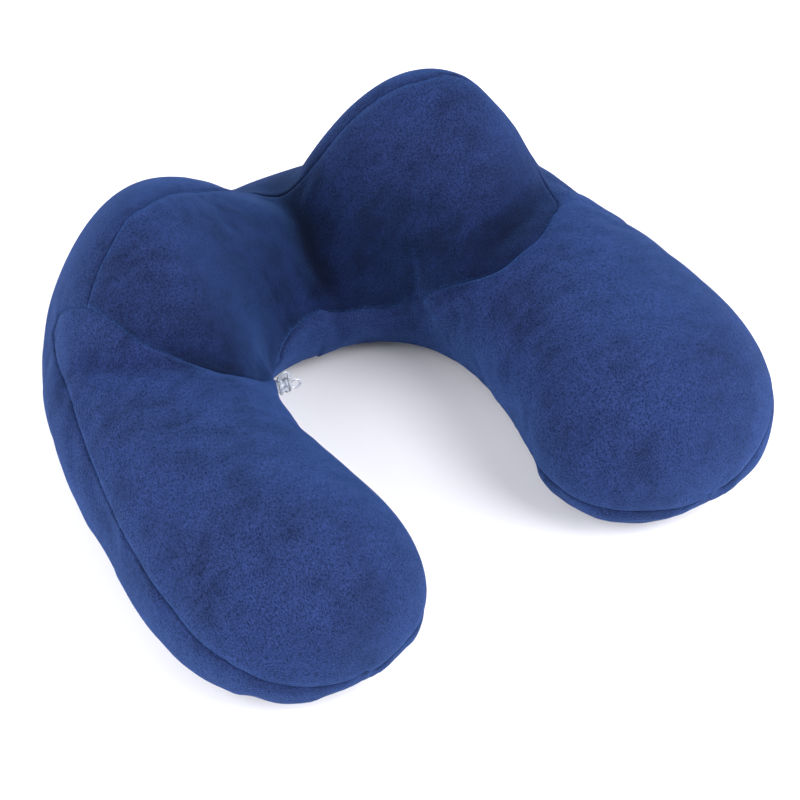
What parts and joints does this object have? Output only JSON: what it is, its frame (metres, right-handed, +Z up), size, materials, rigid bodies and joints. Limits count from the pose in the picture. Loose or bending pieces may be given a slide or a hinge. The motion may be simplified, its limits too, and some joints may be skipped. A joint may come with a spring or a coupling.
{
  "type": "u shaped neck pillow",
  "caption": "U-shaped inflatable travel neck pillow with raised lobes behind the neck, a soft velour cover with a zip underneath, and a stoppered air valve.",
  "frame": {"origin": "on the floor under the middle of the pillow's bounding box", "axes": "+X to the wearer's right-hand arm of the U, +Y from the open mouth towards the back, +Z up"},
  "size_m": [0.3834, 0.3678, 0.159],
  "materials": {
    "velour": "short-pile navy velour",
    "film": "flocked translucent PVC film",
    "valve_plastic": "clear soft PVC",
    "zip_tape": "woven polyester tape",
    "zip_teeth": "moulded nylon",
    "zip_metal": "grey lacquered zinc"
  },
  "bodies": {
    "pillow": {"cover_bottom_panel": "velour", "cover_outer_band": "velour", "cover_lobe_front_panel": "velour", "cover_top_panel": "velour", "bladder_bottom_skin": "film", "bladder_lobe_skin": "film", "bladder_arm_skin_left": "film", "bladder_arm_skin_right": "film", "valve_stem": "valve_plastic", "valve_flange": "valve_plastic", "valve_tether": "valve_plastic", "zip_tape_front": "zip_tape", "zip_tape_rear": "zip_tape", "zip_teeth_front": "zip_teeth", "zip_teeth_rear": "zip_teeth", "zip_top_stop_front": "zip_metal", "zip_top_stop_rear": "zip_metal", "zip_bottom_stop": "zip_metal"},
    "valve_plug": {"valve_plug": "valve_plastic"},
    "valve_flap": {"valve_flap": "valve_plastic"},
    "zip_slider": {"zip_slider": "zip_metal"},
    "zip_pull": {"zip_pull": "zip_metal"}
  },
  "joints": [
    {"name": "valve_plug_pull", "type": "slide", "parent": "pillow", "child": "valve_plug", "axis": [0.9651, -0.2619, 0], "range_m": [0, 0.007]},
    {"name": "valve_flap_hinge", "type": "hinge", "parent": "pillow", "child": "valve_flap", "pos_m": [-0.07214, 0.01323, 0.06318], "axis": [0.2619, 0.9651, 0], "range_deg": [0, 40], "stiffness_Nm_per_rad": 0.0005},
    {"name": "zip_slider_travel", "type": "slide", "parent": "pillow", "child": "zip_slider", "axis": [1, 0, 0], "range_m": [0, 0.122]},
    {"name": "zip_pull_swing", "type": "hinge", "parent": "zip_slider", "child": "zip_pull", "pos_m": [-0.061, 0.122, 0.0034], "axis": [0, 1, 0], "range_deg": [0, 175]}
  ]
}
